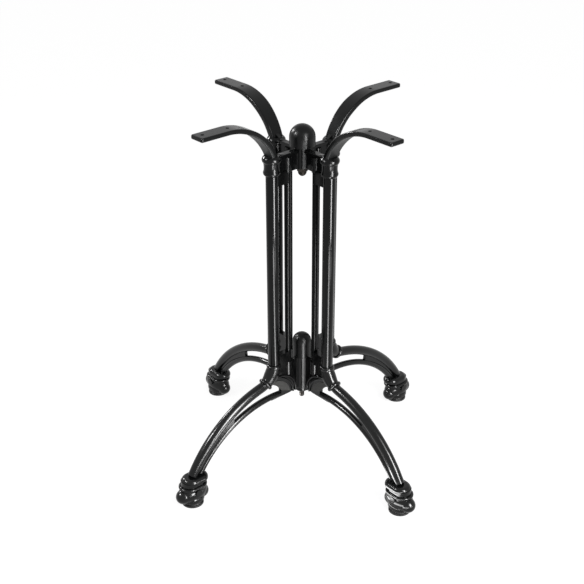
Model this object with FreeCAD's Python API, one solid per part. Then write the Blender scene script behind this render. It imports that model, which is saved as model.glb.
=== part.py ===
import FreeCAD, Part
import math
import os

os.makedirs("parts", exist_ok=True)

V = FreeCAD.Vector

# Four star table base of cast aluminium and steel tube, in millimetres.
# The origin is on the floor under the centre, Z is up, and the four feet
# point at 45, 135, 225 and 315 degrees from +X. Each casting is drawn in
# the upright plane of its own row, with X running outwards, then turned.

# Overall
base_height = 720.0
row_angles = {
    "front_left": 225.0,
    "front_right": 315.0,
    "rear_right": 45.0,
    "rear_left": 135.0,
}

# Columns
outer_column_radius = 72.0
inner_column_radius = 36.0
outer_tube_diameter = 22.5
outer_tube_wall = 1.5
inner_rod_diameter = 12.0
inner_rod_thread = 8.0
inner_rod_thread_length = 14.0
outer_spigot_length = 20.0
spigot_fit = 0.15
bridge_gap = 0.3
bridge_bite = 4.0
split_gap = 0.3

# Leg rods: two arcs in the upright plane of each row, as (radius, height)
upper_arc_centre = (54.5, -65.4)
upper_arc_radius = 252.7
upper_rod_diameter = 19.0
lower_arc_centre = (79.8, -61.7)
lower_arc_radius = 213.5
lower_rod_diameter = 12.4
rod_web_thickness = 7.0
slot_outer_end = 173.0
slot_slant = 4.0
rod_in_collar = 4.0

# Elbow under the outer tube
elbow_end_radius = 106.0
elbow_top_diameter = 24.5
elbow_bulb_diameter = 28.0
elbow_neck_diameter = 22.0
elbow_ring_diameter = 28.5
elbow_ring_height = 8.5
elbow_low_ring_height = 7.5
elbow_ring_turn = 60.0

# Lower hub web
lower_hub_bottom = 147.0
lower_hub_top = 217.5
lower_web_thickness = 6.4
lower_bridge_height = 23.5
bridge_thickness = 12.0
boss_diameter = 15.0
boss_depth = 28.0
fan_centre = (77.0, 141.0)
fan_radius = 44.5
fan_thickness = 8.0
fan_rib_radius = 52.5
arch_centre = (60.0, 152.0)
arch_radius = 41.5
rib_width = 3.8
rib_thickness = 12.0
rib_round = 1.6
web_inner_radius = 20.0
web_lift = 0.5
web_reach = 10.0
web_shoulder_drop = 12.0
opening_end = (57.0, 161.0)
opening_top = (78.0, 180.0)
opening_bulge = 1.2
lower_rod_start = 58.0

# Foot
foot_radius = 277.0
pad_diameter = 41.5
pad_height = 8.0
pad_step_width = 3.0
pad_step_height = 4.0
pad_plug_diameter = 12.0
pad_plug_length = 12.0
collar_radius = 270.0
collar_length = 53.5
collar_width = 37.5
collar_height = 12.5
collar_level = 47.0
cuff_radius = 275.0
cuff_length = 57.0
cuff_width = 41.0
cuff_height = 7.0
cuff_level = 36.5
ankle_length = 48.0
ankle_width = 34.0
ball_length = 62.0
ball_diameter = 40.0
ball_sink = 4.0
sole_length = 46.0
sole_width = 41.0
sole_height = 13.0
sole_round = 3.0
toe_reach = 35.5
toe_length = 34.0
toe_diameter = 30.0
toe_level = 22.5
heel_reach = 35.0
heel_length = 30.0
heel_diameter = 28.0
heel_level = 18.0
scroll_eye_diameter = 12.0
scroll_eye_depth = 2.0
scroll_eye_rise = 10.0

# Arm
arm_tip_radius = 233.0
arm_flat_start = 173.3
arm_bend_radius = 114.2
arm_width = 31.4
arm_thickness = 8.0
arm_edge_round = 2.5
arm_neck_width = 25.0
arm_neck_thickness = 12.9
arm_shoulder_drop = 10.0
arm_foot_sink = 10.0              # depth of the bar's lower end inside the capital
inner_hole_radius = 167.7
outer_hole_inset = 13.0
screw_hole_diameter = 6.5
arm_underside_lag = 2.7
capital_drop = 109.0
capital_height = 37.0
capital_foot_diameter = 31.5
capital_waist_diameter = 28.5
capital_bead_diameter = 35.5
capital_foot_roll = 5.0
capital_foot_top = 9.0
capital_waist_level = 16.0
capital_neck_level = 24.0
capital_bead_level = 29.5
capital_lip_level = 35.0
capital_lip_inset = 4.0

# Upper hub web
upper_hub_drop = 69.5
upper_hub_height = 41.5
upper_web_thickness = 7.0
upper_bridge_height = 20.5
web_flange_drop = 75.0
web_flange_width = 14.0
web_flange_height = 5.0
web_flange_round = 1.2
gusset_start = 6.0
gusset_rise = 20.0
gusset_reach = 10.0

# Hub, dome caps, studs and nuts on the axis
hub_diameter = 30.0
seam_groove = 2.0
stud_diameter = 10.0
stud_hole_fit = 0.5
thread_fit = 0.1
stud_in_cap = 22.0
upper_dome_diameter = 47.5
upper_dome_height = 39.0
lower_dome_diameter = 36.6
lower_dome_height = 49.0
cap_nut_across_flats = 17.0
cap_nut_height = 18.0
stud_in_cap_nut = 12.0
flange_nut_diameter = 27.5
flange_nut_height = 9.0
stud_below_nut = 16.0

# Levels that follow from the sizes above
capital_bottom = base_height - capital_drop
upper_hub_top = base_height - upper_hub_drop
upper_hub_bottom = upper_hub_top - upper_hub_height
flange_top = base_height - web_flange_drop
arm_underside = base_height - arm_thickness
outer_hole_radius = arm_tip_radius - outer_hole_inset


def arc_angle(centre, radius, x):
    return math.asin((x - centre[0]) / radius)


def arc_height(centre, radius, x):
    return centre[1] + radius * math.cos(arc_angle(centre, radius, x))


# The elbow is an arc that leaves the column upright and joins the upper rod
elbow_end_slope = arc_angle(upper_arc_centre, upper_arc_radius, elbow_end_radius)
elbow_end_height = arc_height(upper_arc_centre, upper_arc_radius, elbow_end_radius)
elbow_turn = math.pi / 2 - elbow_end_slope
elbow_radius = (elbow_end_radius - outer_column_radius) / (1 - math.cos(elbow_turn))
outer_tube_foot = elbow_end_height + elbow_radius * math.sin(elbow_turn)
elbow_centre = V(outer_column_radius + elbow_radius, 0, outer_tube_foot)


def elbow_point(turn):
    x = elbow_centre.x - elbow_radius * math.cos(turn)
    z = elbow_centre.z - elbow_radius * math.sin(turn)
    return V(x, 0, z)


def elbow_direction(turn):
    return V(math.sin(turn), 0, -math.cos(turn))


def fuse_all(solids):
    body = solids[0]
    for solid in solids[1:]:
        body = body.fuse(solid)
    return body


def plate(points, thickness):
    """A flat plate in the row's plane, from (radius, height) corners."""
    corners = [V(x, -thickness / 2, z) for x, z in points]
    face = Part.Face(Part.makePolygon(corners + [corners[0]]))
    return face.extrude(V(0, thickness, 0))


def cross_cylinder(x, z, diameter, thickness):
    """A cylinder that lies across the row's plane."""
    return Part.makeCylinder(diameter / 2, thickness, V(x, -thickness / 2, z), V(0, 1, 0))


def bead(centre, direction, diameter, height):
    """A disc with a half round edge, square to a rod's direction."""
    half = height / 2
    flat = diameter / 2 - half
    face = Part.Face(Part.Wire([
        Part.makeLine(V(0, 0, -half), V(flat, 0, -half)),
        Part.Arc(V(flat, 0, -half), V(flat + half, 0, 0), V(flat, 0, half)).toShape(),
        Part.makeLine(V(flat, 0, half), V(0, 0, half)),
        Part.makeLine(V(0, 0, half), V(0, 0, -half)),
    ]))
    disc = face.revolve(V(0, 0, 0), V(0, 0, 1), 360)
    turn = FreeCAD.Rotation(V(0, 0, 1), direction)
    disc.Placement = FreeCAD.Placement(centre, turn)
    return disc


def arc_rod(centre, radius, diameter, start_x, end_x):
    """A round rod that follows an arc in the row's plane."""
    start = arc_angle(centre, radius, start_x)
    end = arc_angle(centre, radius, end_x)
    point = V(start_x, 0, centre[1] + radius * math.cos(start))
    direction = V(math.cos(start), 0, -math.sin(start))
    section = Part.Face(Part.Wire(Part.makeCircle(diameter / 2, point, direction)))
    pivot = V(centre[0], 0, centre[1])
    return section.revolve(pivot, V(0, 1, 0), math.degrees(end - start))


def oval_block(x, level, length, width, height, top_round, bottom_round):
    """An upright block with rounded ends, longer outwards than across."""
    half = (length - width) / 2
    r = width / 2
    left = Part.makeCylinder(r, height, V(x - half, 0, level))
    right = Part.makeCylinder(r, height, V(x + half, 0, level))
    middle = Part.makeBox(2 * half, width, height, V(x - half, -r, level))
    block = fuse_all([left, right, middle]).removeSplitter()
    for z, rounding in ((level + height, top_round), (level, bottom_round)):
        if rounding > 0:
            edges = [e for e in block.Edges
                     if e.BoundBox.ZLength < 0.001 and abs(e.BoundBox.ZMin - z) < 0.001]
            block = block.makeFillet(rounding, edges)
    return block


def spheroid(x, z, length, diameter):
    """An egg form that lies outwards along the row."""
    half = length / 2
    ellipse = Part.Ellipse(V(x + half, 0, z), V(x, 0, z + diameter / 2), V(x, 0, z))
    if length < diameter:
        ellipse = Part.Ellipse(V(x, 0, z + diameter / 2), V(x + half, 0, z), V(x, 0, z))
    upper = Part.ArcOfEllipse(ellipse, 0, math.pi)
    edge = upper.toShape()
    first = edge.Vertexes[0].Point
    last = edge.Vertexes[-1].Point
    axis = Part.makeLine(last, first)
    face = Part.Face(Part.Wire([edge, axis]))
    return face.revolve(V(x, 0, z), last - first, 360)


def row_wedge():
    """The quarter of space that one row may fill, less half the split gap."""
    reach = foot_radius * 2
    offset = split_gap / 2 * math.sqrt(2)
    corners = [V(offset, 0, 0), V(reach, -reach + offset, 0), V(reach, reach - offset, 0)]
    face = Part.Face(Part.makePolygon(corners + [corners[0]]))
    return face.extrude(V(0, 0, base_height))


def hub_ring(bottom, top):
    outer = Part.makeCylinder(hub_diameter / 2, top - bottom, V(0, 0, bottom))
    corner = hub_diameter / 2 * math.cos(math.pi / 4) - seam_groove / 2
    for side in (-1, 1):
        groove = Part.makeBox(seam_groove, seam_groove, top - bottom,
                              V(corner, side * (corner + seam_groove / 2) - seam_groove / 2, bottom))
        outer = outer.cut(groove)
    return outer.common(row_wedge())


def stud_bore(bottom, top):
    bore = stud_diameter + 2 * stud_hole_fit
    return Part.makeCylinder(bore / 2, top - bottom, V(0, 0, bottom))


def tube_spigot(level, length):
    """A cast pin that the outer tube is pressed on. A negative length points down."""
    diameter = outer_tube_diameter - 2 * outer_tube_wall - 2 * spigot_fit
    direction = V(0, 0, math.copysign(1, length))
    return Part.makeCylinder(diameter / 2, abs(length), V(outer_column_radius, 0, level), direction)


def bridge(bottom, top):
    """The block between the two tubes of a row, hollowed to clear both."""
    length = outer_column_radius - inner_column_radius
    block = Part.makeBox(length, bridge_thickness, top - bottom,
                         V(inner_column_radius, -bridge_thickness / 2, bottom))
    return block


def tube_clearance(x, bottom, top, diameter):
    """Room around a tube, cut out of the bridge that faces it."""
    return Part.makeCylinder(diameter / 2 + bridge_gap, top - bottom, V(x, 0, bottom))


def rod_thread_hole(level, depth):
    """A blind hole for an inner rod's threaded end. A negative depth points down."""
    direction = V(0, 0, math.copysign(1, depth))
    radius = inner_rod_thread / 2 + thread_fit
    return Part.makeCylinder(radius, abs(depth) + 1, V(inner_column_radius, 0, level), direction)


def elbow():
    ring_turn = math.radians(elbow_ring_turn)
    stations = [0.0, 0.28, 0.55, 0.80, 1.0]
    diameters = [
        elbow_top_diameter,
        (elbow_top_diameter + 2 * elbow_bulb_diameter) / 3,
        elbow_bulb_diameter,
        (elbow_neck_diameter + elbow_bulb_diameter) / 2,
        elbow_neck_diameter,
    ]
    sections = []
    for share, diameter in zip(stations, diameters):
        turn = ring_turn * share
        circle = Part.makeCircle(diameter / 2, elbow_point(turn), elbow_direction(turn))
        sections.append(Part.Wire(circle))
    bulb = Part.makeLoft(sections, True, False)
    upper_ring = bead(V(outer_column_radius, 0, outer_tube_foot - elbow_ring_height / 2),
                      V(0, 0, 1), elbow_ring_diameter, elbow_ring_height)
    lower_ring = bead(elbow_point(ring_turn), elbow_direction(ring_turn * 0.9),
                      elbow_ring_diameter, elbow_low_ring_height)
    start = ring_turn * 0.93
    section = Part.makeCircle(upper_rod_diameter / 2, elbow_point(start), elbow_direction(start))
    face = Part.Face(Part.Wire(section))
    tail = face.revolve(elbow_centre, V(0, -1, 0), math.degrees(elbow_turn - start))
    return [bulb, upper_ring, lower_ring, tail]


def rod_web():
    """The recessed web that joins the two rods outside the slot."""
    def on_upper(x):
        return V(x, 0, arc_height(upper_arc_centre, upper_arc_radius, x))

    def on_lower(x):
        return V(x, 0, arc_height(lower_arc_centre, lower_arc_radius, x))

    u0 = on_upper(slot_outer_end + slot_slant)
    u2 = on_upper(collar_radius)
    u1 = on_upper((u0.x + u2.x) / 2)
    l0 = on_lower(slot_outer_end)
    l2 = on_lower(collar_radius - collar_length / 4)
    l1 = on_lower((l0.x + l2.x) / 2)
    edges = [
        Part.Arc(u0, u1, u2).toShape(),
        Part.makeLine(u2, l2),
        Part.Arc(l2, l1, l0).toShape(),
        Part.makeLine(l0, u0),
    ]
    face = Part.Face(Part.Wire(edges))
    half = rod_web_thickness / 2
    face.translate(V(0, -half, 0))
    return face.extrude(V(0, rod_web_thickness, 0))


def arc_rib(centre, radius):
    """A raised rib on both sides of the web, along part of a circle."""
    outer = cross_cylinder(centre[0], centre[1], 2 * radius, rib_thickness)
    inner = cross_cylinder(centre[0], centre[1], 2 * (radius - rib_width), rib_thickness)
    ring = outer.cut(inner)
    rims = [e for e in ring.Edges if e.Closed and e.BoundBox.YLength < 0.01]
    return ring.makeFillet(rib_round, rims)


def lower_web():
    """Panel, fan and two arched ribs between the hub and the elbow."""
    under = lower_web_bottom
    inner = hub_diameter / 4
    clear_of_nut = flange_nut_diameter / 2 + split_gap
    outer = outer_column_radius + web_reach
    panel = plate([(inner, lower_hub_bottom),
                   (clear_of_nut, lower_hub_bottom),
                   (web_inner_radius, under),
                   (outer, under),
                   (outer, lower_hub_top - web_shoulder_drop),
                   (outer_column_radius, lower_hub_top),
                   (inner, lower_hub_top)], lower_web_thickness)
    fan = cross_cylinder(fan_centre[0], fan_centre[1], 2 * fan_radius, fan_thickness)
    carved = fuse_all([fan, arc_rib(fan_centre, fan_rib_radius), arc_rib(arch_centre, arch_radius)])
    keep = Part.makeBox(outer - web_inner_radius, 2 * fan_thickness, fan_rib_radius,
                        V(web_inner_radius, -fan_thickness, under))
    carved = carved.common(keep)
    boss = Part.makeCylinder(boss_diameter / 2, boss_depth,
                             V(inner_column_radius, 0, lower_hub_top - boss_depth))
    block = bridge(lower_hub_top - bridge_bite, lower_hub_top + lower_bridge_height)
    return fuse_all([panel, carved, boss, block])


def opening():
    """The space between the two rods, which narrows toward the hub."""
    end_x, end_z = opening_end
    top_x, top_z = opening_top
    middle = V((end_x + top_x) / 2 - opening_bulge, 0, (end_z + top_z) / 2 + opening_bulge)
    far = outer_column_radius + 2 * web_reach
    low = lower_rod_level
    start = V(end_x, 0, end_z)
    top = V(top_x, 0, top_z)
    corner_up = V(far, 0, top_z)
    corner_down = V(far, 0, low)
    back = V(end_x, 0, low)
    face = Part.Face(Part.Wire([
        Part.Arc(start, middle, top).toShape(),
        Part.makeLine(top, corner_up),
        Part.makeLine(corner_up, corner_down),
        Part.makeLine(corner_down, back),
        Part.makeLine(back, start),
    ]))
    face.translate(V(0, -fan_thickness, 0))
    return face.extrude(V(0, 2 * fan_thickness, 0))


lower_rod_level = lower_arc_centre[1] + lower_arc_radius
lower_web_bottom = lower_rod_level - lower_rod_diameter / 2 + web_lift


def scroll_foot():
    """Collar, cuff, ankle, ball, toe and heel of the foot."""
    collar = oval_block(collar_radius, collar_level, collar_length, collar_width,
                        collar_height, collar_height * 0.6, collar_height * 0.3)
    cuff = oval_block(cuff_radius, cuff_level, cuff_length, cuff_width,
                      cuff_height, cuff_height * 0.45, cuff_height * 0.45)
    ankle = oval_block(cuff_radius, ball_diameter / 2, ankle_length, ankle_width,
                       collar_level + collar_height / 2 - ball_diameter / 2, 0, 0)
    ball_level = pad_height + ball_diameter / 2 - ball_sink
    ball = spheroid(foot_radius, ball_level, ball_length, ball_diameter)
    toe = spheroid(foot_radius + toe_reach - toe_length / 2, toe_level, toe_length, toe_diameter)
    heel = spheroid(foot_radius - heel_reach + heel_length / 2, heel_level,
                    heel_length, heel_diameter)
    sole = oval_block(foot_radius, pad_height, sole_length, sole_width, sole_height,
                      sole_height * 0.5, sole_round)
    eye = cross_cylinder(foot_radius, toe_level + scroll_eye_rise, scroll_eye_diameter,
                         ball_diameter + 2 * scroll_eye_depth)
    return [collar, cuff, ankle, ball, toe, heel, sole, eye]


def leg_casting():
    upper_rod = arc_rod(upper_arc_centre, upper_arc_radius, upper_rod_diameter,
                        elbow_end_radius, collar_radius + rod_in_collar)
    lower_rod = arc_rod(lower_arc_centre, lower_arc_radius, lower_rod_diameter,
                        lower_rod_start, collar_radius - collar_length / 4)
    hub = hub_ring(lower_hub_bottom, lower_hub_top)
    web = lower_web().cut(opening())
    body = fuse_all([web, hub, upper_rod, lower_rod, rod_web()] + elbow() + scroll_foot())
    side = 4 * pad_diameter
    below_pad = Part.makeBox(side, side, side / 2,
                             V(foot_radius - side / 2, -side / 2, pad_height - side / 2))
    cuts = [
        below_pad,
        stud_bore(0, base_height),
        tube_clearance(outer_column_radius, outer_tube_foot,
                       lower_hub_top + lower_bridge_height, outer_tube_diameter),
        tube_clearance(inner_column_radius, lower_hub_top,
                       lower_hub_top + lower_bridge_height, inner_rod_diameter),
        Part.makeCylinder(pad_plug_diameter / 2 + spigot_fit, pad_plug_length,
                          V(foot_radius, 0, pad_height)),
    ]
    for tool in cuts:
        body = body.cut(tool)
    body = body.common(row_wedge())
    pin = tube_spigot(outer_tube_foot - 1, outer_spigot_length + 1)
    body = fuse_all([body, pin]).removeSplitter()
    return body.cut(rod_thread_hole(lower_hub_top, -inner_rod_thread_length))


def capital():
    """The turned capital on top of the outer tube."""
    foot = capital_foot_diameter / 2
    waist = capital_waist_diameter / 2
    top = capital_bead_diameter / 2
    z = capital_bottom
    lip = top - capital_lip_inset
    p = [V(0, 0, z),
         V(foot - capital_foot_roll * 0.6, 0, z),
         V(foot, 0, z + capital_foot_roll),
         V(foot - 1, 0, z + capital_foot_top),
         V(waist, 0, z + capital_waist_level),
         V(waist + 0.8, 0, z + capital_neck_level),
         V(top, 0, z + capital_bead_level),
         V((top + lip) / 2, 0, z + capital_lip_level),
         V(lip, 0, z + capital_height),
         V(0, 0, z + capital_height)]
    edges = [
        Part.makeLine(p[0], p[1]),
        Part.Arc(p[1], p[2], p[3]).toShape(),
        Part.Arc(p[3], p[4], p[5]).toShape(),
        Part.Arc(p[5], p[6], p[7]).toShape(),
        Part.makeLine(p[7], p[8]),
        Part.makeLine(p[8], p[9]),
        Part.makeLine(p[9], p[0]),
    ]
    turned = Part.Face(Part.Wire(edges)).revolve(V(0, 0, 0), V(0, 0, 1), 360)
    turned.translate(V(outer_column_radius, 0, 0))
    return turned


def arm_bar():
    """The curved bar: a side view and a front view, cut from one another."""
    foot_level = capital_bottom + capital_height - arm_foot_sink
    c = V(arm_flat_start, 0, base_height - arm_bend_radius)
    sweep = math.acos((c.z - foot_level) / -arm_bend_radius)
    outer = [V(c.x - arm_bend_radius * math.sin(a), 0, c.z + arm_bend_radius * math.cos(a))
             for a in (0, sweep / 2, sweep)]
    end = V(outer[2].x + arm_neck_thickness, 0, foot_level)
    flat_end = V(arm_flat_start + arm_underside_lag, 0, arm_underside)
    drop = flat_end.z - end.z
    run = flat_end.x - end.x
    inner_radius = (run * run + drop * drop) / (2 * drop)
    ic = V(flat_end.x, 0, flat_end.z - inner_radius)
    turn = math.atan2(run, end.z - ic.z)
    mid = V(ic.x - inner_radius * math.sin(turn / 2), 0, ic.z + inner_radius * math.cos(turn / 2))
    tip_top = V(arm_tip_radius, 0, base_height)
    tip_low = V(arm_tip_radius, 0, arm_underside)
    edges = [
        Part.makeLine(tip_top, outer[0]),
        Part.Arc(outer[0], outer[1], outer[2]).toShape(),
        Part.makeLine(outer[2], end),
        Part.Arc(end, mid, flat_end).toShape(),
        Part.makeLine(flat_end, tip_low),
        Part.makeLine(tip_low, tip_top),
    ]
    face = Part.Face(Part.Wire(edges))
    face.translate(V(0, -arm_width / 2, 0))
    side = face.extrude(V(0, arm_width, 0))
    a = arm_neck_width / 2
    b = arm_width / 2
    shoulder = arm_underside - arm_shoulder_drop
    waist = (foot_level + shoulder) / 2
    edges = [
        Part.makeLine(V(0, -a, foot_level), V(0, a, foot_level)),
        Part.Arc(V(0, a, foot_level), V(0, a + (b - a) * 0.35, waist), V(0, b, shoulder)).toShape(),
        Part.makeLine(V(0, b, shoulder), V(0, b, base_height)),
        Part.makeLine(V(0, b, base_height), V(0, -b, base_height)),
        Part.makeLine(V(0, -b, base_height), V(0, -b, shoulder)),
        Part.Arc(V(0, -b, shoulder), V(0, -a - (b - a) * 0.35, waist),
                 V(0, -a, foot_level)).toShape(),
    ]
    front = Part.Face(Part.Wire(edges)).extrude(V(arm_tip_radius, 0, 0))
    bar = side.common(front)
    corner = [e for e in bar.Edges
              if e.BoundBox.XMin > arm_tip_radius - 1 and e.BoundBox.ZLength > arm_thickness - 1]
    bar = bar.makeFillet(arm_edge_round * 1.4, corner)
    long_edges = [e for e in bar.Edges
                  if e.BoundBox.YLength < arm_width / 2 and e.Length > 3 * arm_thickness]
    bar = bar.makeFillet(arm_edge_round, long_edges)
    for x in (inner_hole_radius, outer_hole_radius):
        hole = Part.makeCylinder(screw_hole_diameter / 2, 3 * arm_thickness,
                                 V(x, 0, base_height - 2 * arm_thickness))
        bar = bar.cut(hole)
    return bar


def upper_web():
    """Web with gusset, flange, boss and bridge of the arm casting."""
    inner = hub_diameter / 4
    outer = outer_column_radius + gusset_reach
    start = V(inner_column_radius + gusset_start, 0, flange_top)
    end = V(outer, 0, flange_top + gusset_rise)
    middle = V((start.x + end.x) / 2 + 4, 0, flange_top + gusset_rise * 0.3)
    corners = [end, V(outer, 0, capital_bottom + capital_waist_level),
               V(outer_column_radius, 0, upper_hub_bottom), V(inner, 0, upper_hub_bottom),
               V(inner, 0, flange_top), start]
    edges = [Part.Arc(start, middle, end).toShape()]
    for first, second in zip(corners, corners[1:]):
        edges.append(Part.makeLine(first, second))
    face = Part.Face(Part.Wire(edges))
    face.translate(V(0, -upper_web_thickness / 2, 0))
    web = face.extrude(V(0, upper_web_thickness, 0))
    flange = Part.makeBox(outer_column_radius - inner, web_flange_width, web_flange_height,
                          V(inner, -web_flange_width / 2, flange_top - web_flange_height))
    rims = [e for e in flange.Edges
            if e.BoundBox.XLength > web_flange_width and e.BoundBox.ZMin > flange_top - 0.01]
    flange = flange.makeFillet(web_flange_round, rims)
    boss = Part.makeCylinder(boss_diameter / 2, boss_depth,
                             V(inner_column_radius, 0, upper_hub_bottom))
    block = bridge(upper_hub_bottom - upper_bridge_height, upper_hub_bottom + bridge_bite)
    return [web, flange, boss, block]


def arm_casting():
    hub = hub_ring(upper_hub_bottom, upper_hub_top)
    body = fuse_all([arm_bar(), capital(), hub] + upper_web())
    low = upper_hub_bottom - upper_bridge_height
    body = body.cut(stud_bore(0, base_height))
    body = body.cut(tube_clearance(outer_column_radius, low, capital_bottom, outer_tube_diameter))
    body = body.cut(tube_clearance(inner_column_radius, low, upper_hub_bottom,
                                   inner_rod_diameter))
    body = body.common(row_wedge())
    pin = tube_spigot(capital_bottom + 1, -outer_spigot_length - 1)
    body = fuse_all([body, pin]).removeSplitter()
    return body.cut(rod_thread_hole(upper_hub_bottom, inner_rod_thread_length))


def outer_tube():
    length = capital_bottom - outer_tube_foot
    start = V(outer_column_radius, 0, outer_tube_foot)
    outside = Part.makeCylinder(outer_tube_diameter / 2, length, start)
    inside = Part.makeCylinder(outer_tube_diameter / 2 - outer_tube_wall, length, start)
    return outside.cut(inside)


def inner_rod():
    """A solid rod with a thinner threaded end in each casting."""
    length = upper_hub_bottom - lower_hub_top
    body = Part.makeCylinder(inner_rod_diameter / 2, length,
                             V(inner_column_radius, 0, lower_hub_top))
    ends = Part.makeCylinder(inner_rod_thread / 2, length + 2 * inner_rod_thread_length,
                             V(inner_column_radius, 0, lower_hub_top - inner_rod_thread_length))
    return body.fuse(ends)


def foot_pad():
    base = Part.makeCylinder(pad_diameter / 2, pad_step_height, V(foot_radius, 0, 0))
    lower = [e for e in base.Edges if e.Closed]
    base = base.makeFillet(1.2, lower)
    step = Part.makeCylinder(pad_diameter / 2 - pad_step_width, pad_height - 1,
                             V(foot_radius, 0, 1))
    plug = Part.makeCylinder(pad_plug_diameter / 2, pad_plug_length - 1,
                             V(foot_radius, 0, pad_height))
    return fuse_all([base, step, plug])


def dome_cap(base, diameter, height):
    """A bullet shaped cap, blind bored for the stud."""
    r = diameter / 2
    wall = height - r
    p = [V(0, 0, base), V(r, 0, base), V(r, 0, base + wall),
         V(r * math.sin(math.pi / 4), 0, base + wall + r * math.cos(math.pi / 4)),
         V(0, 0, base + height)]
    edges = [
        Part.makeLine(p[0], p[1]),
        Part.makeLine(p[1], p[2]),
        Part.Arc(p[2], p[3], p[4]).toShape(),
        Part.makeLine(p[4], p[0]),
    ]
    cap = Part.Face(Part.Wire(edges)).revolve(V(0, 0, 0), V(0, 0, 1), 360)
    bore = Part.makeCylinder(stud_diameter / 2 + thread_fit, stud_in_cap + 1, V(0, 0, base))
    return cap.cut(bore)


def stud(bottom, top):
    rod = Part.makeCylinder(stud_diameter / 2, top - bottom, V(0, 0, bottom))
    ends = [e for e in rod.Edges if e.Closed]
    return rod.makeChamfer(1.0, ends)


def cap_nut():
    """An acorn nut that hangs under the upper hub."""
    top = upper_hub_bottom
    hex_height = cap_nut_height * 0.45
    prism = hexagon(cap_nut_across_flats, top - hex_height, hex_height)
    r = cap_nut_across_flats / 2 - 0.5
    drop = cap_nut_height - hex_height
    p = [V(0, 0, top - hex_height), V(r, 0, top - hex_height),
         V(r * 0.78, 0, top - hex_height - drop * 0.65), V(0, 0, top - cap_nut_height)]
    acorn = Part.Face(Part.Wire([
        Part.makeLine(p[0], p[1]),
        Part.Arc(p[1], p[2], p[3]).toShape(),
        Part.makeLine(p[3], p[0]),
    ])).revolve(V(0, 0, 0), V(0, 0, 1), 360)
    bore = Part.makeCylinder(stud_diameter / 2 + thread_fit, stud_in_cap_nut + 0.5,
                             V(0, 0, top), V(0, 0, -1))
    return prism.fuse(acorn).cut(bore)


def hexagon(across_flats, bottom, height):
    corner = across_flats / math.sqrt(3)
    points = [V(corner * math.cos(math.radians(a)), corner * math.sin(math.radians(a)), bottom)
              for a in range(0, 360, 60)]
    face = Part.Face(Part.makePolygon(points + [points[0]]))
    return face.extrude(V(0, 0, height))


def flange_nut():
    """A round nut under the lower hub, rounded below."""
    bottom = lower_hub_bottom - flange_nut_height
    nut = Part.makeCylinder(flange_nut_diameter / 2, flange_nut_height, V(0, 0, bottom))
    rim = [e for e in nut.Edges if e.Closed and e.BoundBox.ZMax < bottom + 0.01]
    nut = nut.makeFillet(flange_nut_height * 0.4, rim)
    bore = Part.makeCylinder(stud_diameter / 2 + thread_fit, flange_nut_height, V(0, 0, bottom))
    return nut.cut(bore)


def export(shape, name):
    shape.exportStep("parts/" + name + ".step")
    print(name, "solids", len(shape.Solids), "valid", shape.isValid(),
          "volume", round(shape.Volume / 1000.0, 2), "cm3")


def place(shape, angle):
    turned = shape.copy()
    turned.rotate(V(0, 0, 0), V(0, 0, 1), angle)
    return turned


row_pieces = {
    "leg_casting": leg_casting(),
    "arm_casting": arm_casting(),
    "outer_tube": outer_tube(),
    "inner_rod": inner_rod(),
    "foot_pad": foot_pad(),
}

for row, angle in row_angles.items():
    for name, shape in row_pieces.items():
        export(place(shape, angle), name + "_" + row)

export(dome_cap(upper_hub_top, upper_dome_diameter, upper_dome_height), "upper_dome_cap")
export(dome_cap(lower_hub_top, lower_dome_diameter, lower_dome_height), "lower_dome_cap")
export(stud(upper_hub_bottom - stud_in_cap_nut, upper_hub_top + stud_in_cap), "upper_stud")
export(stud(lower_hub_bottom - flange_nut_height - stud_below_nut,
            lower_hub_top + stud_in_cap), "lower_stud")
export(cap_nut(), "upper_cap_nut")
export(flange_nut(), "lower_flange_nut")
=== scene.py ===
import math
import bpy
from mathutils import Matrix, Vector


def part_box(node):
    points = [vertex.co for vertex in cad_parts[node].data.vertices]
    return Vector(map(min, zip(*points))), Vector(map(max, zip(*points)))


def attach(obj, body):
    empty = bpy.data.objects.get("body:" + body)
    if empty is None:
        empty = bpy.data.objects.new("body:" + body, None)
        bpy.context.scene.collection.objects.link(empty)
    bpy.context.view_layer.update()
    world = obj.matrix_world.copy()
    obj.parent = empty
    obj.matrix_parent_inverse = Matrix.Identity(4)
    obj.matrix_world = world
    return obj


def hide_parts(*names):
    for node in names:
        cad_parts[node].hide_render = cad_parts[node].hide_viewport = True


bl_info = {
    "name": "Four star table base",
    "version": (1, 0, 0),
    "blender": (4, 5, 0),
    "location": "View3D > Sidebar > Table Base",
    "description": "Finishes, fittings and studio for a cast four star table base",
    "category": "Object",
}

import bmesh
import bpy
from mathutils import Matrix, Vector

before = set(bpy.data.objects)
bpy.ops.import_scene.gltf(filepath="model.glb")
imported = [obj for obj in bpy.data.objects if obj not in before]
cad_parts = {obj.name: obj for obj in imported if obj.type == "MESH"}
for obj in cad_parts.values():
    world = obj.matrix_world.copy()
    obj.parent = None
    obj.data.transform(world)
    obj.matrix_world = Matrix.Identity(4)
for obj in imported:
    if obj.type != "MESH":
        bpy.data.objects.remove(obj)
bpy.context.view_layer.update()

# The four rows of columns, in degrees from +X
ROWS = {"front_left": 225, "front_right": 315, "rear_right": 45, "rear_left": 135}
PHOTO_SIDE = 584


# Settings


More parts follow.
